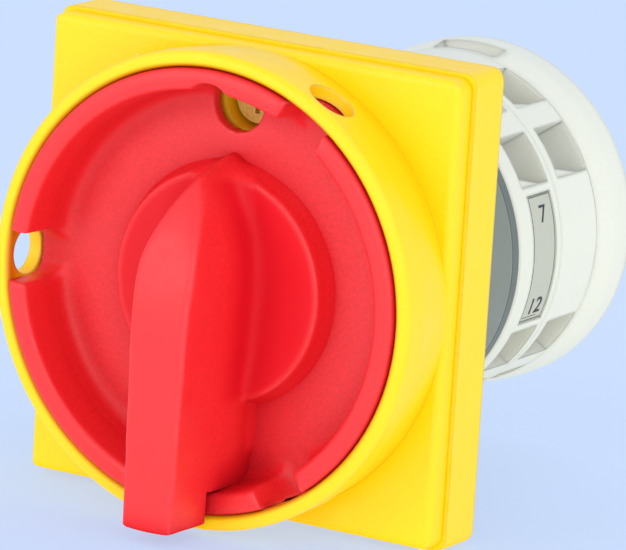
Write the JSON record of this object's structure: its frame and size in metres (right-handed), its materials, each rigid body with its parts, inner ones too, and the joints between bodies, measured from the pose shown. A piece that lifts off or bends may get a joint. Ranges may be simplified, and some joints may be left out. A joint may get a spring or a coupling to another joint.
{
  "type": "padlockable rotary main switch",
  "caption": "Panel mounted rotary cam switch with a padlockable locking disc, grip, square plate, latch and round contact decks",
  "frame": {"origin": "on the shaft's axis, in the plane where the base frame lies on the panel", "axes": "+Y along the shaft into the panel, +Z towards 12 o'clock, +X towards 3 o'clock seen from the hand"},
  "size_m": [0.064, 0.0844, 0.064],
  "materials": {
    "yellow_plastic": "moulded, satin gloss, fine grain",
    "red_plastic": "moulded, satin, fine grain",
    "white_plastic": "moulded, satin",
    "grey_plastic": "moulded, satin",
    "dark_grey_plastic": "moulded, satin",
    "seal_rubber": "matt",
    "zinc_steel": "yellow zinc plated",
    "spring_steel": "bright spring steel",
    "cam_plastic": "low friction moulding",
    "contact_brass": "rolled strip",
    "marker_card": "printed strip"
  },
  "bodies": {
    "housing": {"front_plate": "yellow_plastic", "base_frame": "yellow_plastic", "panel_gasket": "seal_rubber", "mounting_screws": "zinc_steel", "latch_housing": "grey_plastic", "leaf_springs": "spring_steel", "latch_plate": "dark_grey_plastic", "deck_1": "white_plastic", "deck_2": "white_plastic", "rear_cover": "white_plastic", "spring_1_right": "spring_steel", "spring_1_left": "spring_steel", "spring_2_right": "spring_steel", "spring_2_left": "spring_steel", "terminals_1": "contact_brass", "terminals_2": "contact_brass", "clamps_1": "zinc_steel", "clamps_2": "zinc_steel", "terminal_screws_1": "zinc_steel", "terminal_screws_2": "zinc_steel", "marker_strips": "marker_card", "tie_bolts": "zinc_steel", "tie_nuts": "zinc_steel"},
    "handle": {"locking_disc": "red_plastic", "grip": "red_plastic", "grip_screws": "zinc_steel", "shaft_seal": "seal_rubber", "retaining_clip": "spring_steel", "drive_shaft": "zinc_steel", "latch_hub": "cam_plastic", "cam_1": "cam_plastic", "cam_2": "cam_plastic"},
    "contact_1_right": {"plunger_1_right": "cam_plastic", "bridge_1_right": "contact_brass"},
    "contact_1_left": {"plunger_1_left": "cam_plastic", "bridge_1_left": "contact_brass"},
    "contact_2_right": {"plunger_2_right": "cam_plastic", "bridge_2_right": "contact_brass"},
    "contact_2_left": {"plunger_2_left": "cam_plastic", "bridge_2_left": "contact_brass"}
  },
  "joints": [
    {"name": "handle_turn", "type": "hinge", "parent": "housing", "child": "handle", "pos_m": [0, 0, 0], "axis": [0, 1, 0], "range_deg": [0, 90], "deforming": ["leaf_springs"]},
    {"name": "contact_slide_1_right", "type": "slide", "parent": "housing", "child": "contact_1_right", "axis": [-1, 0, 0], "range_m": [0, 0.002], "deforming": ["spring_1_right"]},
    {"name": "contact_slide_1_left", "type": "slide", "parent": "housing", "child": "contact_1_left", "axis": [1, 0, 0], "range_m": [0, 0.002], "deforming": ["spring_1_left"]},
    {"name": "contact_slide_2_right", "type": "slide", "parent": "housing", "child": "contact_2_right", "axis": [-1, 0, 0], "range_m": [0, 0.002], "deforming": ["spring_2_right"]},
    {"name": "contact_slide_2_left", "type": "slide", "parent": "housing", "child": "contact_2_left", "axis": [1, 0, 0], "range_m": [0, 0.002], "deforming": ["spring_2_left"]}
  ],
  "couplings": [
    {"joint": "contact_slide_1_right", "follows": "handle_turn", "m_per_rad": 0.001273},
    {"joint": "contact_slide_1_left", "follows": "handle_turn", "m_per_rad": 0.001273},
    {"joint": "contact_slide_2_right", "follows": "handle_turn", "m_per_rad": 0.001273},
    {"joint": "contact_slide_2_left", "follows": "handle_turn", "m_per_rad": 0.001273}
  ]
}
